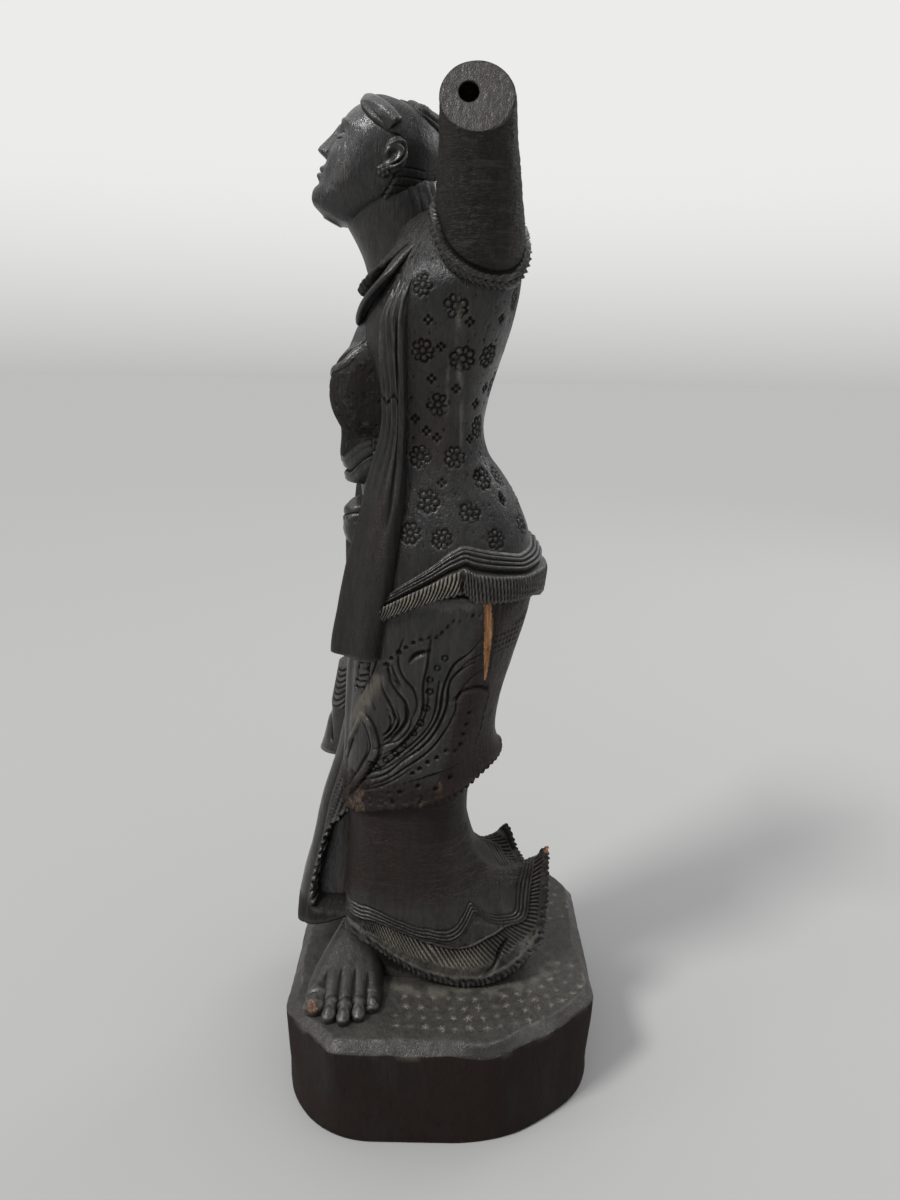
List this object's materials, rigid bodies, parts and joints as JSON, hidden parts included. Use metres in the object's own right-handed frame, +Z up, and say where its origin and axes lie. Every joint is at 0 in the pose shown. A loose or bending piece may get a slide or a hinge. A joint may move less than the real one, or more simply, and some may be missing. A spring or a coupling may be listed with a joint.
{
  "type": "carved wooden figure",
  "caption": "Carved wooden figure of a standing woman, head tilted back, upper arms raised to flat forearm seats, on a chamfered base cut from the same log.",
  "frame": {"origin": "middle of the base's flat underside", "axes": "+Z up through the figure; the figure faces -Y; +X is towards the figure's own left side"},
  "size_m": [0.197, 0.1815, 0.5502],
  "materials": {
    "dark_wood": "dark stained and waxed, worn satin"
  },
  "bodies": {
    "root": {"standing_figure": "dark_wood"}
  },
  "joints": []
}
